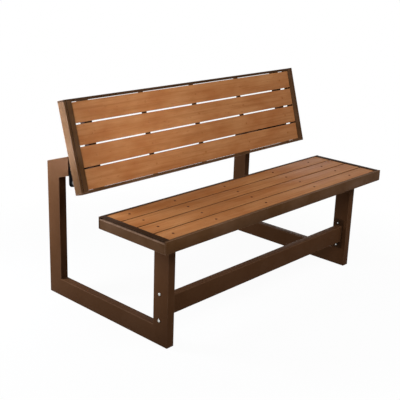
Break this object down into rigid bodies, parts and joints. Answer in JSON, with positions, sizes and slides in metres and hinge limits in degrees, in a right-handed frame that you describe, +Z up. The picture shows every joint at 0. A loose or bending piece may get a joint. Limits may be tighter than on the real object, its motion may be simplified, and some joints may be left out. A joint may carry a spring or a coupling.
{
  "type": "convertible picnic table bench",
  "caption": "Slatted outdoor bench on two open tube side frames, whose back turns over on side hinges and becomes a level table top",
  "frame": {"origin": "middle of the footprint, on the floor, with the back upright", "axes": "X runs along the seat, Y runs from the front of the seat to the back, Z is up"},
  "size_m": [1.403, 0.788, 0.8789],
  "materials": {
    "frame_paint": "satin dark brown powder coat on steel tube",
    "rail_paint": "satin dark brown powder coat on the seat and back rails",
    "batten_paint": "dark brown powder coat on the cross bars under the planks",
    "plank_wood": "stained wood or wood-look decking, satin, fine grain along the length",
    "screw_paint": "low round screw heads in a brown close to the planks",
    "zinc": "zinc-plated bolt heads",
    "dark_steel": "blackened steel fasteners",
    "hinge_black": "satin black powder coat on the hinge plates",
    "bush_plastic": "natural nylon bush",
    "glide_plastic": "black moulded glide",
    "knob_plastic": "black moulded knob"
  },
  "bodies": {
    "frame": {"bottom_rail_left": "frame_paint", "bottom_rail_right": "frame_paint", "front_post_left": "frame_paint", "front_post_right": "frame_paint", "rear_post_left": "frame_paint", "rear_post_right": "frame_paint", "top_arm_left": "frame_paint", "top_arm_right": "frame_paint", "seat_arm_left": "frame_paint", "seat_arm_right": "frame_paint", "stretcher_plate_left": "frame_paint", "stretcher_plate_right": "frame_paint", "stretcher": "frame_paint", "glides": "glide_plastic", "stretcher_bolts": "zinc", "stretcher_nuts": "dark_steel", "seat_front_rail": "rail_paint", "seat_rear_rail": "rail_paint", "seat_end_rail_left": "rail_paint", "seat_end_rail_right": "rail_paint", "seat_bearer_1": "batten_paint", "seat_bearer_2": "batten_paint", "seat_bearer_3": "batten_paint", "seat_bearer_4": "batten_paint", "seat_bearer_5": "batten_paint", "seat_plank_1": "plank_wood", "seat_plank_2": "plank_wood", "seat_plank_3": "plank_wood", "seat_plank_4": "plank_wood", "seat_screws": "screw_paint", "seat_bolts": "dark_steel", "hinge_bracket_left": "hinge_black", "hinge_bracket_right": "hinge_black", "bracket_bolts": "dark_steel", "pivot_bolts": "dark_steel", "pivot_nuts": "dark_steel", "pivot_washers": "dark_steel", "pivot_bushes": "bush_plastic"},
    "back": {"back_bottom_rail": "rail_paint", "back_top_rail": "rail_paint", "back_end_rail_left": "rail_paint", "back_end_rail_right": "rail_paint", "back_post_left": "batten_paint", "back_post_right": "batten_paint", "back_batten_1": "batten_paint", "back_batten_2": "batten_paint", "back_batten_3": "batten_paint", "back_plank_1": "plank_wood", "back_plank_2": "plank_wood", "back_plank_3": "plank_wood", "back_plank_4": "plank_wood", "back_screws": "screw_paint", "hinge_arm_left": "hinge_black", "hinge_arm_right": "hinge_black", "hinge_bolts": "dark_steel", "lock_bolts": "dark_steel", "lock_spacers": "dark_steel"},
    "knob_left": {"clamp_knob_left": "knob_plastic"},
    "knob_right": {"clamp_knob_right": "knob_plastic"}
  },
  "joints": [
    {"name": "back_swing", "type": "hinge", "parent": "frame", "child": "back", "pos_m": [0, 0.2225, 0.604], "axis": [1, 0, 0], "range_deg": [-73.5, 0]},
    {"name": "knob_turn_left", "type": "hinge", "parent": "back", "child": "knob_left", "pos_m": [-0.565, 0.2225, 0.524], "axis": [1, 0, 0], "range_deg": [0, 180]},
    {"name": "knob_turn_right", "type": "hinge", "parent": "back", "child": "knob_right", "pos_m": [0.565, 0.2225, 0.524], "axis": [-1, 0, 0], "range_deg": [0, 180]}
  ]
}
